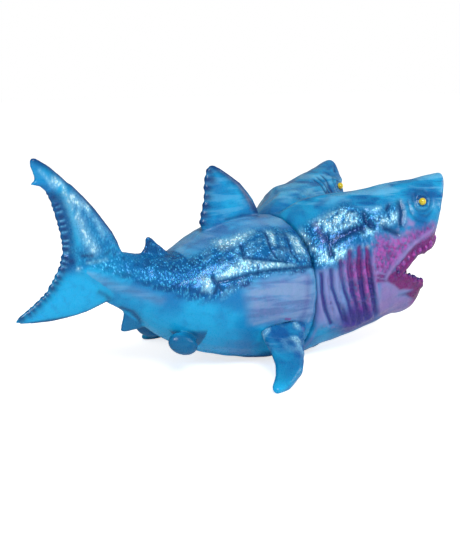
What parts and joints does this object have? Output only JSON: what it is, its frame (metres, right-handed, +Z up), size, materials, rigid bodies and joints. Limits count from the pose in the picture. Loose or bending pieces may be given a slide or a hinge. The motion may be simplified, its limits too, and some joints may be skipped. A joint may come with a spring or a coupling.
{
  "type": "toy shark figurine",
  "caption": "Soft vinyl shark figurine with two gaping heads forking from one collar, tail and back fins, and two pectoral fins that prop it up.",
  "frame": {"origin": "on the flat of the belly, in the plane of the collar seam and on the body's middle plane", "axes": "+X from the tail to the two heads, +Y to the shark's left, +Z up"},
  "size_m": [0.2304, 0.1224, 0.1121],
  "materials": {
    "body_vinyl": "translucent blue vinyl with a pearl paint on the back",
    "front_vinyl": "translucent blue vinyl with pearl and magenta paint",
    "right_fin_vinyl": "glossy deep blue vinyl",
    "left_fin_vinyl": "glossy deep blue vinyl"
  },
  "bodies": {
    "root": {"body": "body_vinyl", "two_headed_front": "front_vinyl", "pectoral_fin_right": "right_fin_vinyl", "pectoral_fin_left": "left_fin_vinyl"}
  },
  "joints": []
}
